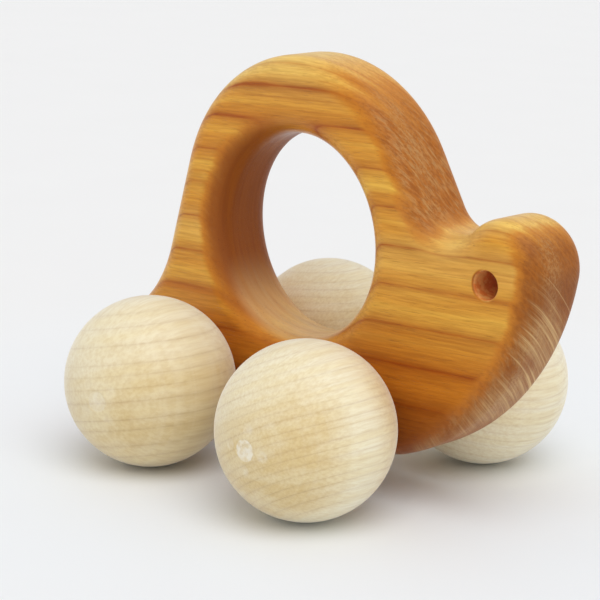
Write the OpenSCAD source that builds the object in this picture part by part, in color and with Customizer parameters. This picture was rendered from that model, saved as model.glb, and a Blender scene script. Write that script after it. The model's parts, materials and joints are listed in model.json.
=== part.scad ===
// Wooden grasping toy: a rounded animal sawn from one board, rolling on four wooden balls.
// The outline is drawn in the plane of the board, from midway between the axles and up from the axle line.

/* [Board] */
// Thickness of the board
board_t = 17; // [15:0.5:22]
// Radius of the sanded outer edges
edge_r = 4.8; // [2:0.2:6]
// Depth of the flat belly below the axle line
belly_drop = 9.2; // [7:0.1:12]

/* [Hump] */
// Centre of the hump's arc, along the board
hump_x = -1.8; // [-5:0.1:2]
// Centre of the hump's arc, above the axle line
hump_h = 34.6; // [32:0.1:38]
// Radius of the hump
hump_r = 32.5; // [31:0.1:35]
// Lean of the front flank from upright, in degrees
front_lean = 30.5; // [26:0.5:35]
// Lean of the rear flank from upright, in degrees
rear_lean = 15.3; // [12:0.1:18]

/* [Tail] */
// Reach of the tail behind the middle of the axles
tail_reach = 51; // [49:0.5:56]
// Radius of the tail's round end
tail_r = 10.5; // [9:0.1:13]
// Radius of the hollow between the tail and the rear flank
rump_r = 28.5; // [20:0.5:36]

/* [Head] */
// Centre of the head, along the board
head_x = 50.4; // [48:0.1:54]
// Centre of the head, above the axle line
head_h = 32.9; // [31:0.1:35]
// Radius of the head
head_r = 9.9; // [8.5:0.1:11.5]
// Radius of the hollow between the front flank and the head
neck_r = 7.2; // [6:0.1:12]
// Radius of the chest's long arc
chest_r = 49.7; // [42:0.1:60]
// Place along the board where the chest's foot meets the flat belly
foot_x = 21.6; // [18:0.1:25]
// Radius of the foot of the chest
foot_r = 20; // [12:0.5:25]

/* [Holes] */
// Centre of the grip hole, along the board
grip_x = -1.8; // [-4:0.1:1]
// Centre of the grip hole, above the axle line
grip_h = 30.8; // [29:0.1:32]
// Width of the grip hole's throat
grip_d = 41.2; // [36:0.2:42]
// Radius of the grip hole's rolled rims
rim_r = 5.6; // [3:0.2:6]
// Centre of the eye, along the board
eye_x = 49.1; // [47:0.1:52]
// Centre of the eye, above the axle line
eye_h = 30.6; // [29:0.1:33]
// Width of the drilled eye
eye_d = 5.5; // [4:0.1:7]
// Radius of the eased rims of the eye and the axle bores
ease_r = 0.6; // [0.3:0.1:1.5]

/* [Wheels] */
// Diameter of a ball
ball_d = 35; // [28:1:40]
// Distance between the two axles
wheelbase = 44; // [41:0.5:50]
// Diameter of the axle dowels
axle_d = 8; // [6:0.5:9]
// Clearance all round between a dowel and its bore in the board
axle_play = 0.2; // [0.1:0.05:0.4]
// Clearance on each side between the board and a ball
side_play = 1.1; // [0.5:0.1:2]
// Depth of a ball's socket
socket_depth = 15; // [12:0.5:18]
// Glue line all round between a dowel and its socket
glue_gap = 0.05; // [0.02:0.01:0.1]
// Glue pocket left at the bottom of a socket
glue_room = 1; // [0.5:0.5:2]
// Bevel on the ends of the dowels
bevel = 0.8; // [0.4:0.1:1.2]

/* [Hidden] */
$fn = 72;

// Degrees between the points of an outline arc, and steps across a rounded edge and a rolled rim
arc_step = 5;
edge_steps = 6;
rim_steps = 8;
// A rim stops short of the full quarter turn and runs on straight, so that it crosses the face cleanly
rim_sweep = 80;
// How far a cutting tool reaches past the face that it enters
overcut = 1;

half_t = board_t / 2;
ball_r = ball_d / 2;
socket_r = axle_d / 2 + glue_gap;
// Distance from a ball's centre to the mouth of its socket
mouth = sqrt(ball_r * ball_r - socket_r * socket_r);
ball_y = half_t + side_play + mouth;
dowel_half = ball_y - mouth + socket_depth - glue_room;
// Middle of the whole toy, nose to tail
middle_x = (head_x + head_r - tail_reach) / 2;

tail_c = [tail_r - tail_reach, tail_r - belly_drop];
foot_c = [foot_x, foot_r - belly_drop];
head_c = [head_x, head_h];
hump_c = [hump_x, hump_h];
rear_a = 180 - rear_lean;
neck_c = hollow([cos(front_lean), sin(front_lean)], [sin(front_lean), -cos(front_lean)], neck_r, head_c, head_r);
rump_c = hollow([cos(rear_a), sin(rear_a)], [-sin(rear_a), cos(rear_a)], rump_r, tail_c, tail_r);
chest_c = inside_arc(foot_c, foot_r, head_c, head_r, chest_r);

// Angles at which one arc passes into the next
tail_a = heading(tail_c, rump_c);
foot_a = heading(chest_c, foot_c) + 360;
chest_a = heading(chest_c, head_c) + 360;
head_a = heading(head_c, neck_c) + 360;

function heading(p, q) = atan2(q.y - p.y, q.x - p.x);

// Centre of a hollow of radius r that touches a straight flank of the hump and the round end at c.
// The flank faces along n and runs down along t.
function hollow(n, t, r, c, end_r) =
    let (d = c - hump_c, out = d * n - hump_r)
    hump_c + (hump_r + r) * n + (d * t - sqrt(pow(r + end_r, 2) - pow(r - out, 2))) * t;

// Centre of an arc of radius r that takes in the round ends at p and q, which lie on its right-hand side
function inside_arc(p, p_r, q, q_r, r) =
    let (d = norm(q - p), u = (q - p) / d)
    let (k = (pow(r - p_r, 2) - pow(r - q_r, 2) + d * d) / (2 * d))
    p + k * u + sqrt(pow(r - p_r, 2) - k * k) * [-u.y, u.x];

// Points of one arc, each with its outward direction; a negative radius is a hollow.
// The last point is left out where the next arc begins on it.
function arc(c, r, from, to, last = 0) =
    let (n = ceil(abs(to - from) / arc_step))
    [for (i = [0 : n - 1 + last])
        let (a = from + (to - from) * i / n)
        [c.x + r * cos(a), c.y + r * sin(a), cos(a), sin(a)]];

outline = concat(
    arc(tail_c, tail_r, tail_a, 270, 1),
    arc(foot_c, foot_r, 270, foot_a),
    arc(chest_c, chest_r, foot_a, chest_a),
    arc(head_c, head_r, chest_a, head_a),
    arc(neck_c, -neck_r, head_a, front_lean + 360, 1),
    arc(hump_c, hump_r, front_lean, rear_a, 1),
    arc(rump_c, -rump_r, rear_a, tail_a));

// Rings across the board from face to face: how far each is drawn in, and its place across the thickness
edge = concat(
    [for (i = [0 : edge_steps]) edge_ring(90 * (1 - i / edge_steps), -1)],
    [for (i = [0 : edge_steps]) edge_ring(90 * i / edge_steps, 1)]);
function edge_ring(a, side) = [edge_r * (1 - cos(a)), side * (half_t - edge_r * (1 - sin(a)))];

// The toy stands on its balls with the middle of its length over the origin
module stand() translate([-middle_x, 0, ball_r]) children();

// Hole right through the board with a rolled rim on both faces
module rolled_hole(x, h, d, r) {
    rim = [for (i = [0 : rim_steps])
        let (a = rim_sweep * i / rim_steps)
        [d / 2 + r * (1 - cos(a)), half_t - r * (1 - sin(a))]];
    past = half_t + overcut;
    mouth_r = rim[rim_steps].x + (past - rim[rim_steps].y) * tan(rim_sweep);
    wall = concat(rim, [[mouth_r, past], [0, past]]);
    far_wall = [for (i = [len(wall) - 1 : -1 : 0]) [wall[i].x, -wall[i].y]];
    translate([x, 0, h])
        rotate([90, 0, 0])
            rotate_extrude()
                polygon(concat(far_wall, wall));
}

// Sawn board before drilling: the outline with both edges rounded over. Its flat faces are fanned from the
// front axle, from where every point of the outline is in sight.
module board() {
    n = len(outline);
    rings = len(edge);
    points = concat(
        [for (e = edge) for (p = outline) [p[0] - e[0] * p[2], e[1], p[1] - e[0] * p[3]]],
        [[wheelbase / 2, -half_t, 0], [wheelbase / 2, half_t, 0]]);
    near_hub = n * rings;
    sides = [for (k = [0 : rings - 2]) for (i = [0 : n - 1])
        let (j = (i + 1) % n, a = k * n + i, b = k * n + j)
        each [[a, b, b + n], [a, b + n, a + n]]];
    near_face = [for (i = [0 : n - 1]) [near_hub, (i + 1) % n, i]];
    far_face = [for (i = [0 : n - 1])
        let (base = n * (rings - 1))
        [near_hub + 1, base + i, base + (i + 1) % n]];
    polyhedron(points, concat(sides, near_face, far_face));
}

// The animal: rounded board with the grip hole, the eye and two axle bores
module body() color("#C98B3E") stand()
    difference() {
        board();
        rolled_hole(grip_x, grip_h, grip_d, rim_r);
        rolled_hole(eye_x, eye_h, eye_d, ease_r);
        for (x = [-wheelbase / 2, wheelbase / 2])
            rolled_hole(x, 0, axle_d + 2 * axle_play, ease_r);
    }

// Dowel that turns in the board and carries a ball on each end
module axle(x) color("#D9BC86") stand()
    translate([x, 0, 0])
        rotate([90, 0, 0])
            rotate_extrude()
                polygon([
                    [0, -dowel_half],
                    [axle_d / 2 - bevel, -dowel_half],
                    [axle_d / 2, bevel - dowel_half],
                    [axle_d / 2, dowel_half - bevel],
                    [axle_d / 2 - bevel, dowel_half],
                    [0, dowel_half]]);

// Ball with a blind socket on its inner side; side is -1 on the right of the toy and 1 on the left
module ball(x, side) color("#EBDDB6") stand()
    translate([x, side * ball_y, 0])
        rotate([side * 90, 0, 0])
            difference() {
                sphere(r = ball_r);
                translate([0, 0, mouth - socket_depth])
                    cylinder(r = socket_r, h = socket_depth + overcut);
            }

body();
axle(wheelbase / 2);  // front_axle
axle(-wheelbase / 2);  // rear_axle
ball(wheelbase / 2, -1);  // front_right_ball
ball(wheelbase / 2, 1);  // front_left_ball
ball(-wheelbase / 2, -1);  // rear_right_ball
ball(-wheelbase / 2, 1);  // rear_left_ball
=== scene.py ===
import json
from math import acos, atan2, ceil, cos, pi, radians, sin, sqrt

import bmesh
import bpy
from mathutils import Matrix, Vector


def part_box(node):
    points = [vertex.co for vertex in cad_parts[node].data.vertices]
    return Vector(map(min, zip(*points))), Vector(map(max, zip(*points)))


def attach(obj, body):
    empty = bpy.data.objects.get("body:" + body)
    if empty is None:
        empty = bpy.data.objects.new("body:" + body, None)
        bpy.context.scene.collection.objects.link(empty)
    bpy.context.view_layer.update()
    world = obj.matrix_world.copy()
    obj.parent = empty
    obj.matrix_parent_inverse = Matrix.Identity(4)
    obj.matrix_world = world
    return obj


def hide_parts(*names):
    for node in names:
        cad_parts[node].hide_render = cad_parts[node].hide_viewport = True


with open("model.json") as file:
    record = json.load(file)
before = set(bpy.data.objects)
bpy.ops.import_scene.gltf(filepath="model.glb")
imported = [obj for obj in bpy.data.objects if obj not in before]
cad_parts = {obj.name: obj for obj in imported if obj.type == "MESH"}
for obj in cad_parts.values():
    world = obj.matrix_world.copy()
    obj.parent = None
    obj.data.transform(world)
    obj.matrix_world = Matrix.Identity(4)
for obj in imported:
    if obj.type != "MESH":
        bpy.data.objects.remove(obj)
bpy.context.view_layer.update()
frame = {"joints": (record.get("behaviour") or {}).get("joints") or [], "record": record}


# The animal: one board of cherry, sawn to its outline, drilled, sanded round by hand and oiled.
# Its grain runs from tail to head. Both axles turn in plain bores through its flat sides.

board_low, board_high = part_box("body")
board_t = board_high.y - board_low.y
half_t = board_t / 2
edge_r = 0.0048
tail_r = 0.0105
rump_r = 0.0285
hump_r = 0.0325
front_lean = radians(30.5)
rear_lean = radians(15.3)
neck_r = 0.0072
head_r = 0.0099
head_h = 0.0329
chest_r = 0.0497
foot_r = 0.020
foot_ahead = -0.0004
grip_r = 0.0206
rim_r = 0.0056
bore_r = 0.0042
bore_ease = 0.00008
eye_ease = 0.0006

axles = {joint["name"].split("_")[0]: Vector(joint["pos_m"]) for joint in frame["joints"]}
eye = frame["record"]["mounts"][0]
eye_c = Vector((eye["pos_m"][0], eye["pos_m"][2]))
eye_r = eye["dims"]["r_mm"] / 1000
grip_low, grip_high = (Vector(corner) for corner in frame["record"]["physics"]["openings"][0]["box_m"])
grip_c = Vector(((grip_low.x + grip_high.x) / 2, (grip_low.z + grip_high.z) / 2))

# Centres of the outline's arcs in the plane of the board, across and up
tail_c = Vector((board_low.x + tail_r, board_low.z + tail_r))
foot_c = Vector((axles["front"].x + foot_ahead, board_low.z + foot_r))
head_c = Vector((board_high.x - head_r, axles["front"].z + head_h))
hump_c = Vector((grip_c.x, board_high.z - hump_r))


def towards(angle):
    return Vector((cos(angle), sin(angle)))


def heading(p, q):
    return atan2(q.y - p.y, q.x - p.x)


def hollow(flank, turn, r, end_c, end_r):
    """Centre of a hollow between a straight flank of the hump and the round end at end_c.

    The flank faces along its angle, and runs down along that angle and the turn.
    """
    normal = towards(flank)
    down = towards(flank + turn)
    away = end_c - hump_c
    drop = away.dot(down) - sqrt((r + end_r) ** 2 - (r - away.dot(normal) + hump_r) ** 2)
    return hump_c + (hump_r + r) * normal + drop * down


def inside_arc(p, p_r, q, q_r, r):
    """Centre of a large arc of radius r that takes in the round ends at p and q on its right-hand side."""
    gap = (q - p).length
    along = (q - p) / gap
    k = ((r - p_r) ** 2 - (r - q_r) ** 2 + gap ** 2) / (2 * gap)
    return p + k * along + sqrt((r - p_r) ** 2 - k * k) * Vector((-along.y, along.x))


def arc_points(c, r, start, end, last=False, step=radians(1.5)):
    """Points of one arc; a negative radius is a hollow."""
    steps = ceil(abs(end - start) / step)
    return [c + r * towards(start + (end - start) * i / steps) for i in range(steps + last)]


rear_flank = pi - rear_lean
neck_c = hollow(front_lean, -pi / 2, neck_r, head_c, head_r)
rump_c = hollow(rear_flank, pi / 2, rump_r, tail_c, tail_r)
chest_c = inside_arc(foot_c, foot_r, head_c, head_r, chest_r)
tail_a = heading(tail_c, rump_c)
foot_a = heading(chest_c, foot_c) + 2 * pi
chest_a = heading(chest_c, head_c) + 2 * pi
head_a = heading(head_c, neck_c) + 2 * pi

outline = (
    arc_points(tail_c, tail_r, tail_a, 1.5 * pi, last=True)
    + arc_points(foot_c, foot_r, 1.5 * pi, foot_a)
    + arc_points(chest_c, chest_r, foot_a, chest_a)
    + arc_points(head_c, head_r, chest_a, head_a)
    + arc_points(neck_c, -neck_r, head_a, front_lean + 2 * pi, last=True)
    + arc_points(hump_c, hump_r, front_lean, rear_flank, last=True)
    + arc_points(rump_c, -rump_r, rear_flank, tail_a)
)


class Wire:
    """What comes out of a node. A sum of wires adds the nodes that work it out."""

    def __init__(self, socket):
        self.socket = socket
        self.tree = socket.id_data

    def maths(self, operation, *others):
        """Numbers go through plain maths, and vectors through vector maths."""
        of_vectors = self.socket.type == "VECTOR"
        kind = "ShaderNodeVectorMath" if of_vectors else "ShaderNodeMath"
        output = 1 if of_vectors and operation in ("LENGTH", "DOT_PRODUCT") else 0
        return wire(self.tree, kind, dict(enumerate((self, *others))), output, operation=operation)

    def __add__(self, other):
        return self.maths("ADD", other)

    def __sub__(self, other):
        return self.maths("SUBTRACT", other)

    def __rsub__(self, other):
        return wire(self.tree, "ShaderNodeMath", {0: other, 1: self}, operation="SUBTRACT")

    def __mul__(self, other):
        return self.maths("MULTIPLY", other)

    def __truediv__(self, other):
        return self.maths("DIVIDE", other)

    def __pow__(self, power):
        return self.maths("POWER", power)

    def __abs__(self):
        return self.maths("ABSOLUTE")


def put(tree, kind, inputs=None, **settings):
    """Adds a node; inputs gives each socket its value, or the wire that feeds it."""
    node = tree.nodes.new(kind)
    for name, value in settings.items():
        setattr(node, name, value)
    for name, value in (inputs or {}).items():
        if isinstance(value, Wire):
            tree.links.new(value.socket, node.inputs[name])
        else:
            node.inputs[name].default_value = value
    return node


def wire(tree, kind, inputs=None, output=0, **settings):
    """Adds a node and gives the wire from one of its outputs."""
    return Wire(put(tree, kind, inputs, **settings).outputs[output])


def wires(tree, kind, inputs=None, **settings):
    """Adds a node and gives the wires from all its outputs, by name."""
    return {socket.name: Wire(socket) for socket in put(tree, kind, inputs, **settings).outputs}


def point(x, y=0.0, z=0.0):
    """Vector of which at least one side is a wire."""
    tree = next(side.tree for side in (x, y, z) if isinstance(side, Wire))
    return wire(tree, "ShaderNodeCombineXYZ", {"X": x, "Y": y, "Z": z})


def new_tree(name, kind, inputs, outputs):
    """Node tree and the wires from its inputs; each socket is given as its type, or its type and value."""
    tree = bpy.data.node_groups.new(name, kind)
    for in_out, sockets in (("INPUT", inputs), ("OUTPUT", outputs)):
        for socket_name, given in sockets.items():
            socket_kind, *value = given if isinstance(given, tuple) else (given,)
            socket = tree.interface.new_socket(
                socket_name, in_out=in_out, socket_type="NodeSocket" + socket_kind)
            if value:
                socket.default_value = value[0]
    return tree, wires(tree, "NodeGroupInput")


def join(tree, parts):
    joined = put(tree, "GeometryNodeJoinGeometry")
    for part in parts:
        tree.links.new(part.socket, joined.inputs[0])
    return Wire(joined.outputs[0])


def finish_tree(tree, shape, material):
    """Ends a tree in real faces, shaded smooth, of its material."""
    real = wire(tree, "GeometryNodeRealizeInstances", {"Geometry": shape})
    smooth = wire(tree, "GeometryNodeSetShadeSmooth", {"Geometry": real})
    finished = wire(tree, "GeometryNodeSetMaterial", {"Geometry": smooth, "Material": material})
    put(tree, "NodeGroupOutput", {"Piece": finished})


# Rounded edge that runs along a path in the plane of the board, from one flat face to the other.
# Side is -1 where the wood lies inside the path, as on the outline, and 1 where it lies outside, as on a
# hole. Border is the path moved to where the flat face begins.
edge_tree, given = new_tree(
    "Rounded edge", "GeometryNodeTree",
    {"Path": "Geometry", "Thickness": "Float", "Radius": "Float", "Side": "Float", "Margin": "Float",
     "Steps": "Int"},
    {"Band": "Geometry", "Border": "Geometry"})
reach = given["Side"] * (given["Radius"] + given["Margin"])
top = given["Thickness"] * 0.5
bottom = given["Thickness"] * -0.5
square_edge = wire(edge_tree, "GeometryNodeCurvePrimitiveQuadrilateral", {
    "Point 1": point(reach, top), "Point 2": point(0.0, top),
    "Point 3": point(0.0, bottom), "Point 4": point(reach, bottom)}, mode="POINTS")
open_edge = wire(edge_tree, "GeometryNodeSetSplineCyclic", {"Geometry": square_edge, "Cyclic": False})
round_edge = wire(edge_tree, "GeometryNodeFilletCurve", {
    "Curve": open_edge, "Count": given["Steps"], "Radius": given["Radius"]}, mode="POLY")
flat_path = wire(edge_tree, "GeometryNodeSetCurveNormal", {"Curve": given["Path"]}, mode="Z_UP")
band = wire(edge_tree, "GeometryNodeCurveToMesh", {"Curve": flat_path, "Profile Curve": round_edge})
sideways = wire(edge_tree, "GeometryNodeInputTangent").maths("CROSS_PRODUCT", Vector((0, 0, 1)))
border = wire(edge_tree, "GeometryNodeSetPosition", {"Geometry": flat_path, "Offset": sideways * reach})
put(edge_tree, "NodeGroupOutput", {"Band": band, "Border": border})

# The whole board: its outline and four holes, each with a rounded edge, and two flat faces between them.
# Points nearer than the weld become one.
weld = 0.000002
hole_points = {"Grip": 192, "Eye": 64, "Front bore": 72, "Rear bore": 72}
hole_sockets = {}
for hole in hole_points:
    hole_sockets[hole + " centre"] = "Vector"
    hole_sockets[hole + " radius"] = "Float"
    hole_sockets[hole + " rim"] = "Float"
board_tree, given = new_tree(
    "Rounded board", "GeometryNodeTree",
    {"Outline": "Geometry", "Thickness": "Float", "Edge radius": "Float", "Margin": "Float", "Steps": "Int",
     "Material": "Material", **hole_sockets},
    {"Piece": "Geometry"})
paths = [(given["Outline"], given["Edge radius"], -1.0)]
for hole, points in hole_points.items():
    ring = wire(board_tree, "GeometryNodeCurvePrimitiveCircle", {
        "Resolution": points, "Radius": given[hole + " radius"]})
    placed = wire(board_tree, "GeometryNodeTransform", {
        "Geometry": ring, "Translation": given[hole + " centre"]})
    paths.append((placed, given[hole + " rim"], 1.0))
edges = [
    wires(board_tree, "GeometryNodeGroup", {
        "Path": along, "Thickness": given["Thickness"], "Radius": radius, "Side": side,
        "Margin": given["Margin"], "Steps": given["Steps"]}, node_tree=edge_tree)
    for along, radius, side in paths]
borders = join(board_tree, [edge["Border"] for edge in edges])
face = wire(board_tree, "GeometryNodeFillCurve", {"Curve": borders})
faces = [
    wire(board_tree, "GeometryNodeTransform", {
        "Geometry": face, "Translation": point(0.0, 0.0, given["Thickness"] * share)})
    for share in (0.5, -0.5)]
skin = join(board_tree, [edge["Band"] for edge in edges] + faces)
closed = wire(board_tree, "GeometryNodeMergeByDistance", {"Geometry": skin, "Distance": weld})
upright = wire(board_tree, "GeometryNodeTransform", {"Geometry": closed, "Rotation": (pi / 2, 0, 0)})
finish_tree(board_tree, upright, given["Material"])


def new_material(name):
    material = bpy.data.materials.new(name)
    material.use_nodes = True
    material.node_tree.nodes.clear()
    return material, material.node_tree


def noise(vector, frequency, detail=2.0, roughness=0.5):
    """Noise with its own frequency along each axis, in waves to the metre."""
    return wire(vector.tree, "ShaderNodeTexNoise", {
        "Vector": vector * Vector(frequency), "Scale": 1.0, "Detail": detail, "Roughness": roughness})


def ramp(value, start, end, low=0.0, high=1.0):
    """Eases from low to high as the value goes from start to end."""
    return wire(value.tree, "ShaderNodeMapRange", {
        "Value": value, "From Min": start, "From Max": end, "To Min": low, "To Max": high},
        interpolation_type="SMOOTHSTEP")


def coated(colour, mask, coat, blend="MIX"):
    """Lays a coat of another colour over a colour, where the mask says."""
    return wire(mask.tree, "ShaderNodeMix", {0: mask, 6: colour, 7: coat}, 2,
                data_type="RGBA", blend_type=blend)


def wood_surface(colour, roughness, height, lift, plain):
    """Ends a material with its shader; plain gives the values that are the same all over."""
    bump = wire(colour.tree, "ShaderNodeBump", {"Strength": 1.0, "Distance": lift, "Height": height})
    shader = wire(colour.tree, "ShaderNodeBsdfPrincipled", {
        "Base Color": colour, "Roughness": roughness, "Normal": bump, **plain})
    put(colour.tree, "ShaderNodeOutputMaterial", {"Surface": shader})


# Growth layers of a log round its pith, for every wood here. The log's first axis runs along the fibres.
# Each layer darkens towards a line of late wood, which is stronger in some years and fades along its length,
# with fainter lines between where growth was checked.
growth_tree, given = new_tree(
    "Growth layers", "ShaderNodeTree",
    {"Log": "Vector", "Pith": "Vector", "Layer": ("Float", 0.002), "Uneven": ("Float", 1.0),
     "Wander": ("Float", 0.0002), "Shade": ("Float", 0.3), "Late": ("Float", 4.0), "Check": ("Float", 0.0)},
    {"Late wood": "Float", "Streak": "Float", "Fibre": "Float", "Pores": "Float"})
from_pith = ((given["Log"] - given["Pith"]) * Vector((0, 1, 1))).maths("LENGTH")
drift = noise(given["Log"], (9, 40, 40), detail=5.0, roughness=0.65) - 0.5
even_years = (drift * given["Wander"] * 2.0 + from_pith) / given["Layer"]
season = wire(growth_tree, "ShaderNodeTexNoise", {
    "W": even_years * 0.45, "Scale": 1.0, "Detail": 1.0}, noise_dimensions="1D")
years = season * given["Uneven"] + even_years
to_line = years.maths("PINGPONG", 0.5) * 2.0
to_check = (years * 3.0).maths("PINGPONG", 0.5) * 2.0
shade = to_line ** 2.0 * given["Shade"]
dashes = ramp(noise(given["Log"], (160, 1300, 1300)), 0.35, 0.65, low=0.4)
line = to_line ** given["Late"] * (1.0 - given["Shade"]) * dashes
vigour = wire(growth_tree, "ShaderNodeTexWhiteNoise", {"W": years.maths("FLOOR")}, noise_dimensions="1D")
strength = vigour * 0.35 + 0.65
fading = ramp(noise(given["Log"], (20, 30, 120)), 0.35, 0.6, low=0.6)
put(growth_tree, "NodeGroupOutput", {
    "Late wood": ((shade + line) * strength + to_check ** given["Late"] * given["Check"]) * fading,
    "Streak": noise(given["Log"], (7, 60, 500), detail=4.0, roughness=0.6),
    "Fibre": noise(given["Log"], (110, 2000, 2000), detail=3.0, roughness=0.6),
    "Pores": ramp(noise(given["Log"], (220, 5000, 5000)), 0.6, 0.74)})


def growth(log, **values):
    """Places the growth layers in a material."""
    return wires(log.tree, "ShaderNodeGroup", {"Log": log, **values}, node_tree=growth_tree)


# The board's log: on the flat sides its growth lines lie line_gap apart and rise to the rear, and its layers
# lean away behind. The depth of a spot tells how high up in the log's layers it lies.
body_wood, wood = new_material("oiled_cherry")
grain_rise = radians(3.4)
layer_lean = radians(62)
line_gap = 0.0075
grain_turn = (Matrix.Rotation(layer_lean, 3, "X") @ Matrix.Rotation(grain_rise, 3, "Y")).to_euler()
place = wires(wood, "ShaderNodeTexCoord")
spot = wires(wood, "ShaderNodeSeparateXYZ", {0: place["Object"]})
log = wire(wood, "ShaderNodeMapping", {"Vector": place["Object"], "Rotation": grain_turn})
depth = wires(wood, "ShaderNodeSeparateXYZ", {0: log})["Z"]
layers = growth(log, Pith=(0, -0.045, -0.60182), Layer=line_gap * cos(layer_lean), Uneven=0.0, Wander=0.0003,
                Shade=0.7, Late=7.0, Check=0.2)


def facing(x, y, z):
    """How far the surface faces a direction, from -1 to 1."""
    return place["Normal"].maths("DOT_PRODUCT", Vector((x, y, z)).normalized())


def from_axis(centre):
    """Distance from an axis that crosses the board at a centre in its plane."""
    return point(spot["X"] - centre.x, 0.0, spot["Z"] - centre.y).maths("LENGTH")


in_grip = ramp(from_axis(grip_c), grip_r + rim_r, grip_r + 0.15 * rim_r)
in_throat = ramp(from_axis(grip_c), grip_r + 0.4 * rim_r, grip_r + 0.1 * rim_r)
outside = 1.0 - in_grip
off_face = ramp(abs(facing(0, 1, 0)), 0.97, 0.6) * outside

# Long grain: streaks of honey and amber, then sapwood high up, which also paints a highlight on the top of
# the hump, then heartwood low down, redder wood that is partly painted shade, and below it a dark band of
# painted shade low on the body by the balls. One year at the height of the eye is paler. The rounded edges
# and the upward-facing crown of the head are painted paler still, as painted highlights. The lines of late
# wood are stronger high up, and fainter on the sanded edges.
honey = (0.89, 0.505, 0.073, 1)
amber = (0.77, 0.334, 0.035, 1)
sapwood_and_highlight = (0.94, 0.66, 0.175, 1)
russet = (0.61, 0.194, 0.013, 1)
low_shade_umber = (0.275, 0.063, 0.008, 1)
late_tint = (0.53, 0.24, 0.10, 1)
fibre_tint = (0.68, 0.6, 0.52, 1)
sapwood_and_highlight_depths = (0.0268, 0.0328)
heartwood_and_shade_depths = (0.0125, 0.0044)
low_shade_depths = (0.0042, -0.0016)
strong_line_depths = (0.008, 0.026)
pale_year_depth = 0.0153
pale_year_spread = (0.0024, 0.0008)
crown_highlight_reach = (0.015, 0.0105)
in_sapwood_and_highlight = ramp(depth, *sapwood_and_highlight_depths, high=0.78) * ramp(facing(1, 0, 0), 0.35, -0.05)
in_heartwood_and_shade = ramp(depth, *heartwood_and_shade_depths, high=0.9)
in_low_shade = ramp(depth, *low_shade_depths, high=0.9)
off_year = abs(depth - pale_year_depth)
in_pale_year = ramp(off_year, *pale_year_spread, high=0.28) * ramp(facing(1, 0, 0), 0.5, 0.1)
# Painted highlight on the crown of the head, strongest where the surface faces up
crown_highlight = ramp(from_axis(head_c), *crown_highlight_reach) * ramp(facing(0, 0, 1), 0.2, 0.7, high=0.34)
line_strength = ramp(depth, *strong_line_depths, low=0.85, high=1.35) * (off_face * -0.65 + 1.0)
colour = coated(honey, ramp(depth * 8.0 + layers["Streak"], 0.42, 0.77), amber)
# Sapwood colour high up, which is also a painted highlight on the top of the hump
colour = coated(colour, in_sapwood_and_highlight, sapwood_and_highlight)
# Painted highlights: the rounded edges and the upward-facing crown are painted paler; the pale year is real
# grain
colour = coated(colour, off_face * 0.3 + in_pale_year + crown_highlight, sapwood_and_highlight)
# Heartwood: redder wood low down, which is also partly painted shade
colour = coated(colour, in_heartwood_and_shade, russet)
# Painted shade: a dark band low on the body, where the balls shade it
colour = coated(colour, in_low_shade, low_shade_umber)
colour = coated(colour, layers["Late wood"] * line_strength, late_tint, "MULTIPLY")
colour = coated(colour, ramp(layers["Fibre"], 0.3, 0.7, high=0.62), fibre_tint, "MULTIPLY")

# End grain drinks more oil and turns orange, then brown, with dark pores and pale dust. The fibres run out a
# little through the near face, and the edges at the rear show less of it than those at the front.
# There is less of it on the crown, under the painted highlight there, and the round of the head is handled
# and keeps little dust.
fringe = (0.67, 0.236, 0.018, 1)
soaked = (0.38, 0.107, 0.009, 1)
pore_tint = (0.4, 0.3, 0.25, 1)
dust = (0.62, 0.39, 0.155, 1)
run_out = radians(15)
rear_share = 0.55
fringe_depths = (-0.001, 0.007)
handled_reach = (0.013, 0.0095)
along_fibres = facing(cos(run_out), -sin(run_out), 0)
ragged = layers["Streak"] * 0.45 + layers["Late wood"] * 0.12 - 0.25
# The painted highlight on the crown also lessens the end grain there
across_fibres = along_fibres.maths("MAXIMUM", along_fibres * -rear_share) + ragged - crown_highlight * 0.15
in_fringe = ramp(across_fibres, 0.29, 0.52, high=0.75) * ramp(depth, *fringe_depths)
end_grain = ramp(across_fibres, 0.25, 0.84)
handled = ramp(from_axis(head_c), *handled_reach, high=0.75)
open_pores = ramp(noise(log, (700, 700, 2200), detail=3.0), 0.4, 0.62, high=0.36)
pore_dust = ramp(noise(log, (260, 260, 1500), detail=4.0, roughness=0.7), 0.42, 0.7, high=0.44)
colour = coated(colour, in_fringe, fringe)
colour = coated(colour, end_grain * 0.85, soaked)
colour = coated(colour, open_pores * end_grain * outside, pore_tint, "MULTIPLY")
colour = coated(colour, pore_dust * end_grain ** 3.0 * outside * (1.0 - handled), dust)

# The wall of the grip hole is painted dark behind and above, as painted shade inside the hole, and its
# upward-facing floor is painted pale, as a painted reflection, both in streaks that run round the hole
grip_shade = (0.25, 0.065, 0.008, 1)
grip_floor_reflection = (0.69, 0.48, 0.225, 1)
streaky = ramp(noise(place["Object"], (40, 800, 40)), 0.3, 0.7, low=0.7)
# Painted shade on the upper back wall of the grip hole
colour = coated(colour, in_grip * ramp(facing(0.9, 0, -0.4), 0.1, 0.65) * streaky, grip_shade)
# Painted reflection: the upward-facing floor of the grip hole is painted pale
colour = coated(colour, in_throat * ramp(facing(0, 0, 1), 0.3, 1.0, high=0.73) * streaky, grip_floor_reflection)

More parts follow.
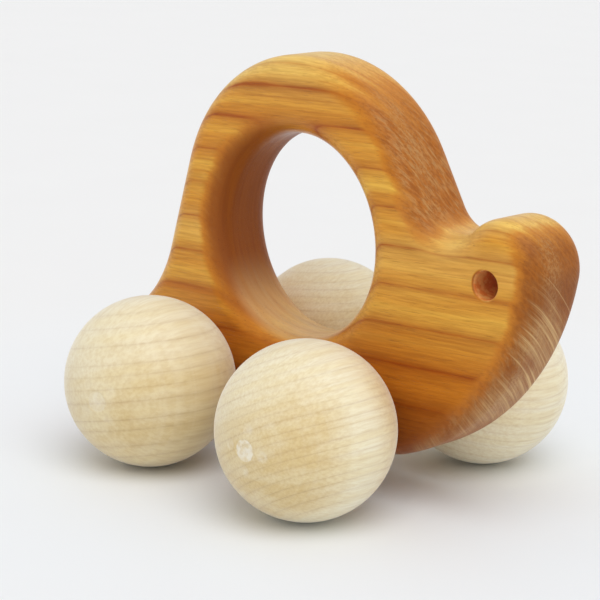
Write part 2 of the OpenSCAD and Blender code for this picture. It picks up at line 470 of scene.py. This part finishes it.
# The sanding disc darkened the chest and the round of the head. It left clusters of pale scratches and a few
# long single ones, which sweep down the chest from the near side and fade at its foot. Dust lies between the
# scratches low on the chest and in a clouded strip a little in from its near edge. The hollow of the neck,
# where it faces up, is painted paler with the chalk colour, as a painted highlight.
rubbed = (0.20, 0.052, 0.006, 1)
chalk = (0.66, 0.42, 0.18, 1)
stroke_lean = 0.67
stroke_bend = 12.0
scratched_heights = (0.012, 0.03)
dusty_heights = (0.050, 0.036)
strip_start = (0.002, 0.005)
strip_end = (0.0105, 0.006)
neck_highlight_full = 0.0015
neck_highlight_end = 0.006
chest = ramp(facing(0.72, 0, -0.69), 0.45, 0.9) * outside
from_face = spot["Y"] + half_t
up_chest = (spot["Z"] - chest_c.y).maths("ARCTAN2", spot["X"] - chest_c.x) * chest_r
stroke = point(up_chest + from_face * (from_face * stroke_bend + stroke_lean), from_face)
fine = ramp(noise(stroke, (1600, 35, 1)), 0.53, 0.7, high=0.55)
broad = ramp(noise(stroke, (850, 28, 1)), 0.5, 0.68, high=0.5)
single = ramp(noise(stroke, (1100, 8, 1)), 0.6, 0.67, high=0.4)
hair = ramp(noise(stroke, (2600, 60, 1)), 0.35, 0.65, low=0.35)
cluster = ramp(noise(stroke, (75, 45, 1)), 0.41, 0.62)
scratches = ((fine + broad) * cluster + single) * ramp(spot["Z"], *scratched_heights, low=0.35)
low_dust = ramp(spot["Z"], *dusty_heights, high=0.4) * hair * cluster
in_strip = ramp(from_face, *strip_start) * ramp(from_face, *strip_end) * end_grain * outside
clouds = ramp(noise(place["Object"], (130, 130, 130)), 0.3, 0.6)
speckle = ramp(noise(log, (1700, 1700, 2600), detail=3.0), 0.4, 0.65, low=0.05, high=0.3)
neck_highlight = ramp(from_axis(neck_c), neck_r + neck_highlight_end, neck_r + neck_highlight_full, high=0.2)
colour = coated(colour, chest * 0.5, rubbed)
colour = coated(colour, handled * end_grain ** 3.0 * 0.4, rubbed)
colour = coated(colour, (scratches + low_dust) * chest, chalk)
colour = coated(colour, in_strip * clouds * speckle, dust)
# Painted highlight in the upward-facing hollow of the neck
colour = coated(colour, neck_highlight * (1.0 - end_grain) * outside, chalk)

# The drilled eye is rawer and mottled inside. Fine pores lie all over the board.
drilled = (0.79, 0.37, 0.115, 1)
bruised = (0.69, 0.20, 0.045, 1)
eye_margin = 0.0003
mottled = coated(drilled, ramp(noise(place["Object"], (700, 700, 700)), 0.4, 0.6), bruised)
colour = coated(colour, ramp(from_axis(eye_c), eye_r + eye_margin, eye_r, high=0.9), mottled)
colour = coated(colour, layers["Pores"] * 0.3, pore_tint, "MULTIPLY")
wood_surface(
    colour,
    roughness=end_grain * 0.2 + ramp(layers["Fibre"], 0.2, 0.8, low=0.26, high=0.38),
    height=layers["Fibre"] * 0.5 - layers["Pores"],
    lift=0.00003,
    plain={"Specular IOR Level": 0.2, "Sheen Weight": 0.05, "Sheen Roughness": 0.4})


def path(name, points, closed=False):
    """Curve of straight steps through flat points, as an object for a tree to start from."""
    curve = bpy.data.curves.new(name, "CURVE")
    spline = curve.splines.new("POLY")
    spline.points.add(len(points) - 1)
    for step, at in zip(spline.points, points):
        step.co = (at.x, at.y, 0, 1)
    spline.use_cyclic_u = closed
    return bpy.data.objects.new(name, curve)


def made_piece(name, start, tree, values):
    """Runs a tree on a starting object and keeps what it makes as a plain mesh with its faces outward."""
    modifier = start.modifiers.new(name, "NODES")
    modifier.node_group = tree
    for item in tree.interface.items_tree:
        if item.name in values:
            modifier[item.identifier] = values[item.name]
    bpy.context.scene.collection.objects.link(start)
    evaluated = start.evaluated_get(bpy.context.evaluated_depsgraph_get())
    mesh = bpy.data.meshes.new_from_object(evaluated)
    start.modifiers.remove(modifier)
    bpy.data.objects.remove(start)
    mesh.name = name
    shell = bmesh.new()
    shell.from_mesh(mesh)
    bmesh.ops.recalc_face_normals(shell, faces=shell.faces)
    shell.to_mesh(mesh)
    shell.free()
    piece = bpy.data.objects.new(name, mesh)
    bpy.context.scene.collection.objects.link(piece)
    return piece


# A margin of flat wood this wide goes with each rounded edge, so that the faces stay flat right up to it
flat_margin = 0.00003
holes = {
    "Grip": (grip_c, grip_r, rim_r),
    "Eye": (eye_c, eye_r, eye_ease),
    "Front bore": (axles["front"].xz, bore_r, bore_ease),
    "Rear bore": (axles["rear"].xz, bore_r, bore_ease),
}
board_values = {
    "Thickness": board_t, "Edge radius": edge_r, "Margin": flat_margin, "Steps": 10, "Material": body_wood}
for hole, (centre, radius, rim) in holes.items():
    board_values[hole + " centre"] = centre.to_3d()
    board_values[hole + " radius"] = radius
    board_values[hole + " rim"] = rim
body = made_piece("animal_body", path("outline", outline, closed=True), board_tree, board_values)
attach(body, "animal")
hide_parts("body")


# The two axles: beech dowels with bevelled ends, cut to length. Each turns freely in its bore through the
# board, and is glued into a ball at both ends.

# A turned piece is its profile swept round, with its outer end along the outward direction.
# The log attribute is the piece's place in the log that it was cut from, fibres first.
turned_tree, given = new_tree(
    "Turned piece", "GeometryNodeTree",
    {"Profile": "Geometry", "Facets": ("Int", 144), "Centre": "Vector", "Turn": "Rotation", "Roll": "Float",
     "Log place": "Vector", "Log scale": ("Float", 1.0), "Ball radius": "Float", "Mark place": "Vector",
     "Mark show": ("Float", 1.0), "Mark radius": "Float", "Prong reach": "Float", "Prong radius": "Float",
     "Prong turn": "Float", "Groove": "Float", "Tear": "Float", "Material": "Material"},
    {"Piece": "Geometry"})
position = wire(turned_tree, "GeometryNodeInputPosition")
sweep_r = 0.01
ring = wire(turned_tree, "GeometryNodeCurvePrimitiveCircle", {
    "Resolution": given["Facets"], "Radius": sweep_r})
flat_ring = wire(turned_tree, "GeometryNodeSetCurveNormal", {"Curve": ring}, mode="Z_UP")
profile = wire(turned_tree, "GeometryNodeTransform", {
    "Geometry": given["Profile"], "Translation": (-sweep_r, 0, 0), "Scale": (1, -1, 1)})
swept = wire(turned_tree, "GeometryNodeCurveToMesh", {"Curve": flat_ring, "Profile Curve": profile})
turned = wire(turned_tree, "GeometryNodeMergeByDistance", {"Geometry": swept, "Distance": weld})

# The marks that the lathe left on a ball: a torn spot in a fine groove where the point pressed, and a dent
# for each of the four prongs round it
prong_edge = (0.0002, -0.0005)
groove_half = 0.00025
mark_axis = given["Mark place"].maths("NORMALIZE")
at = wire(turned_tree, "ShaderNodeVectorRotate", {
    "Vector": position, "Axis": mark_axis, "Angle": given["Prong turn"]})
mark_side = mark_axis.maths("CROSS_PRODUCT", Vector((1, 0, 0))).maths("NORMALIZE")
other_side = mark_side.maths("CROSS_PRODUCT", mark_axis)
height, aside, asquare = (at.maths("DOT_PRODUCT", axis) for axis in (mark_axis, mark_side, other_side))
off_mark = point(aside, asquare).maths("LENGTH")
wide = abs(aside).maths("MAXIMUM", abs(asquare))
narrow = abs(aside).maths("MINIMUM", abs(asquare))
off_prong = point(wide - given["Prong reach"], narrow).maths("LENGTH") - given["Prong radius"]
on_front = height.maths("GREATER_THAN", 0.0)
in_mark = on_front * off_mark.maths("LESS_THAN", given["Mark radius"])
in_prong = on_front * ramp(off_prong, *prong_edge)
in_groove = on_front * ramp(abs(off_mark - given["Mark radius"]), groove_half, 0.0)
flat_height = (given["Ball radius"] ** 2.0 - given["Mark radius"] ** 2.0).maths("SQRT")
planed = in_mark * (height - flat_height)
torn = in_mark * given["Tear"] * noise(at, (1100, 1100, 1100))
drop = planed + torn + (in_groove + in_prong) * given["Groove"]
marked = wire(turned_tree, "GeometryNodeSetPosition", {
    "Geometry": turned, "Offset": mark_axis * (drop * -1.0)})
with_mark = wire(turned_tree, "GeometryNodeStoreNamedAttribute", {
    "Geometry": marked, "Name": "mark", "Value": (in_prong * 0.4 + in_mark) * given["Mark show"]})

# The piece is laid along its axle and rolled, its place in the log is noted, and it is set down in the toy
laid = wire(turned_tree, "GeometryNodeTransform", {"Geometry": with_mark, "Rotation": given["Turn"]})
rolled = wires(turned_tree, "ShaderNodeSeparateXYZ", {0: wire(turned_tree, "ShaderNodeVectorRotate", {
    "Vector": position, "Axis": (0, 1, 0), "Angle": given["Roll"]})})
log_place = point(rolled["Y"], rolled["X"], rolled["Z"]) * given["Log scale"] + given["Log place"]
with_log = wire(turned_tree, "GeometryNodeStoreNamedAttribute", {
    "Geometry": laid, "Name": "log", "Value": log_place}, data_type="FLOAT_VECTOR")
set_down = wire(turned_tree, "GeometryNodeTransform", {"Geometry": with_log, "Translation": given["Centre"]})
finish_tree(turned_tree, set_down, given["Material"])

axle_wood, wood = new_material("beech_dowel")
straw = (0.66, 0.46, 0.24, 1)
tan = (0.48, 0.29, 0.13, 1)
fibre_tint = (0.75, 0.7, 0.65, 1)
log = wire(wood, "ShaderNodeAttribute", output="Vector", attribute_name="log")
layers = growth(log, Pith=(0, 0, -0.06), Layer=0.0016, Uneven=1.6, Wander=0.0003)
colour = coated(straw, layers["Late wood"] * 0.6, tan)
colour = coated(colour, ramp(layers["Fibre"], 0.3, 0.7, high=0.5), fibre_tint, "MULTIPLY")
wood_surface(
    colour,
    roughness=ramp(layers["Fibre"], 0.2, 0.8, low=0.5, high=0.65),
    height=layers["Fibre"] * 0.5 - layers["Pores"],
    lift=0.00003,
    plain={})

axle_low, axle_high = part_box("front_axle")
dowel_half = (axle_high.y - axle_low.y) / 2
dowel_r = (axle_high.z - axle_low.z) / 2
bevel = 0.0008
dowel_profile = [Vector(corner) for corner in (
    (0, -dowel_half), (dowel_r - bevel, -dowel_half), (dowel_r, bevel - dowel_half),
    (dowel_r, dowel_half - bevel), (dowel_r - bevel, dowel_half), (0, dowel_half))]
outward = {"right": (pi / 2, 0, 0), "left": (-pi / 2, 0, 0)}
for end, axle in axles.items():
    dowel = made_piece(end + "_dowel", path("dowel_profile", dowel_profile), turned_tree, {
        "Facets": 72, "Centre": axle, "Turn": outward["right"], "Roll": 0.4,
        "Log place": Vector((axle.x, 0, 0)), "Mark place": Vector((0, 0, 1)), "Material": axle_wood})
    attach(dowel, end + "_wheels")
    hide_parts(end + "_axle")


# The four balls: raw maple, turned and sanded, with a blind socket on the inner side for the dowel.
# The fibres run along the axle, and the outer end still shows where the ball was held in the lathe.

# The wood flushes golden near a plane through the log, at every golden_gap along it, and its growth lines
# show most there. Each ball's place in the log sets this gold mostly on its lower half and on the side
# towards the body, where it is also painted shade and painted warm light from the body. The lathe tool left
# faint rings, and the fibres are torn white where the mark is.
ball_wood, wood = new_material("raw_maple")
cream = (0.91, 0.85, 0.65, 1)
biscuit = (0.89, 0.80, 0.545, 1)
golden = (0.72, 0.545, 0.25, 1)
tan_line = (0.54, 0.37, 0.175, 1)
fibre_tint = (0.82, 0.73, 0.6, 1)
fresh_cut = (0.95, 0.90, 0.76, 1)
torn_white = (0.95, 0.92, 0.82, 1)
golden_gap = 0.030
band_reach = (0.022, 0.004)
golden_reach = (0.0145, 0.005)
log = wire(wood, "ShaderNodeAttribute", output="Vector", attribute_name="log")
mark = wire(wood, "ShaderNodeAttribute", output="Fac", attribute_name="mark")
layers = growth(log, Pith=(0, 0, -0.09), Layer=0.0017, Uneven=0.8, Wander=0.00012, Late=9.0)
in_log = wires(wood, "ShaderNodeSeparateXYZ", {0: log})
in_band = ramp(abs(in_log["Z"]), *band_reach, high=0.9)
in_golden_zone = ramp(in_log["X"].maths("PINGPONG", golden_gap / 2), *golden_reach)
golden_and_shade = in_band * in_golden_zone * ramp(noise(log, (30, 150, 300)), 0.35, 0.6, low=0.65)
turning = noise(log, (1500, 15, 15))
frayed = ramp(noise(log, (900, 900, 900)), 0.35, 0.65, low=0.15, high=0.62)
colour = coated(cream, ramp(layers["Streak"], 0.35, 0.65), biscuit)
# Golden wood, which is also painted shade and painted warm light from the body on the lower part of the ball
colour = coated(colour, golden_and_shade, golden)
colour = coated(colour, layers["Late wood"] * (golden_and_shade * 0.4 + 0.48), tan_line)
colour = coated(colour, ramp(layers["Fibre"], 0.3, 0.7, high=0.5), fibre_tint, "MULTIPLY")
colour = coated(colour, ramp(turning, 0.4, 0.7, high=0.06), fresh_cut)
colour = coated(colour, mark * frayed, torn_white)
wood_surface(
    colour,
    roughness=ramp(layers["Fibre"], 0.2, 0.8, low=0.48, high=0.6),
    height=turning * 0.5 + layers["Fibre"] - layers["Pores"],
    lift=0.00002,
    plain={"Specular IOR Level": 0.4, "Sheen Weight": 0.55, "Sheen Roughness": 0.4})

# A ball is sanded this much inside its solid
sanded_off = 0.000001
ball_low, ball_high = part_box("front_right_ball")
ball_r = (ball_high.z - ball_low.z) / 2 - sanded_off
socket_r = 0.00405
socket_depth = 0.015
mouth = sqrt(ball_r ** 2 - socket_r ** 2)
pole_cap = radians(68)
ball_profile = [Vector((0, socket_depth - mouth)), Vector((socket_r, socket_depth - mouth))]
ball_profile += arc_points(Vector((0, 0)), ball_r, -acos(socket_r / ball_r), pole_cap)
ball_profile += arc_points(Vector((0, 0)), ball_r, pole_cap, pi / 2, last=True, step=radians(0.5))

# How each ball is turned on its axle and where in the log it was cut, which together set where its golden
# painted shade falls, how fine its grain is, and where and how plainly the lathe marked it
balls = {
    "front_right_ball": {"Roll": radians(29), "Log place": Vector((0.0165, 0.0, 0.0065)), "Log scale": 1.0,
                         "Mark place": Vector((0.054, -0.007, 1)), "Prong turn": 0.1},
    "rear_right_ball": {"Roll": radians(20), "Log place": Vector((0.0925, 0.01, 0.0095)), "Log scale": 0.6,
                        "Mark place": Vector((0.179, -0.024, 1)), "Prong turn": 0.9, "Mark show": 0.45},
    "front_left_ball": {"Roll": radians(-15), "Log place": Vector((0.2, -0.01, 0.025)), "Log scale": 0.9,
                        "Mark place": Vector((0.05, 0.08, 1)), "Prong turn": 1.2},
    "rear_left_ball": {"Roll": radians(12), "Log place": Vector((0.3149, 0.006, 0.0045)), "Log scale": 1.25,
                       "Mark place": Vector((-0.08, 0.0, 1)), "Prong turn": 0.5},
}
for ball_name, own in balls.items():
    end, side, _ = ball_name.split("_")
    low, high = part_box(ball_name)
    centre_y = low.y + ball_r + sanded_off if side == "right" else high.y - ball_r - sanded_off
    ball = made_piece("turned_" + ball_name, path("ball_profile", ball_profile), turned_tree, {
        "Facets": 144, "Centre": Vector((axles[end].x, centre_y, axles[end].z)), "Turn": outward[side],
        "Ball radius": ball_r, "Mark radius": 0.0021, "Prong reach": 0.0040, "Prong radius": 0.0012,
        "Groove": 0.00006, "Tear": 0.00008, "Material": ball_wood, **own})
    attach(ball, end + "_wheels")
    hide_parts(ball_name)


# The stage: a plain pale floor in a white room, with one broad soft light from high up on the camera's side.
# The floor is a little cooler round the toy, to make up for the warm light that the wood throws on it.

floor_half = 3.0
cool_reach = (0.17, 0.05)
pale_grey = (0.86, 0.862, 0.866, 1)
paler_grey = (0.875, 0.877, 0.881, 1)
cool_grey = (0.863, 0.892, 0.924, 1)
floor_material, paint = new_material("pale_floor")
at = wire(paint, "ShaderNodeTexCoord", output="Object")
colour = coated(pale_grey, noise(at, (30, 30, 30)), paler_grey)
colour = coated(colour, ramp(at.maths("LENGTH"), *cool_reach), cool_grey)
put(paint, "ShaderNodeOutputMaterial", {"Surface": wire(paint, "ShaderNodeBsdfPrincipled", {
    "Base Color": colour, "Roughness": 0.75})})
floor_mesh = bpy.data.meshes.new("floor")
floor_mesh.from_pydata(
    [(-floor_half, -floor_half, 0), (floor_half, -floor_half, 0),
     (floor_half, floor_half, 0), (-floor_half, floor_half, 0)], [], [(0, 1, 2, 3)])
floor_mesh.materials.append(floor_material)
floor = bpy.data.objects.new("floor", floor_mesh)
bpy.context.scene.collection.objects.link(floor)

world = bpy.data.worlds.new("white_room")
world.use_nodes = True
room = world.node_tree.nodes["Background"]
room.inputs["Color"].default_value = (1, 1, 1, 1)
room.inputs["Strength"].default_value = 0.68
bpy.context.scene.world = world
bpy.context.scene.view_settings.view_transform = "Standard"

light_tilt = radians(30)
light_turn = radians(58)
soft_light = bpy.data.lights.new("soft_light", "SUN")
soft_light.energy = 1.27
soft_light.angle = radians(50)
soft_lamp = bpy.data.objects.new("soft_light", soft_light)
soft_lamp.rotation_euler = (light_tilt, 0, light_turn)
bpy.context.scene.collection.objects.link(soft_lamp)


# The camera: close by, a little above the toy and to the front of its right side.
# It is rolled slightly, as the photograph is.

camera_at = Vector((0.28325, -0.3086, 0.1402))
yaw = radians(43.59)
pitch = radians(14.08)
roll = radians(1.67)
back = Vector((sin(yaw) * cos(pitch), -cos(yaw) * cos(pitch), sin(pitch)))
level = Vector((cos(yaw), sin(yaw), 0))
up = back.cross(level)
camera_data = bpy.data.cameras.new("camera")
camera_data.sensor_width = 36.0
camera_data.lens = 128.0
camera_data.clip_start = 0.01
camera = bpy.data.objects.new("camera", camera_data)
turn = Matrix((level * cos(roll) + up * sin(roll), up * cos(roll) - level * sin(roll), back)).transposed()
camera.matrix_world = Matrix.Translation(camera_at) @ turn.to_4x4()
bpy.context.scene.collection.objects.link(camera)
bpy.context.scene.camera = camera
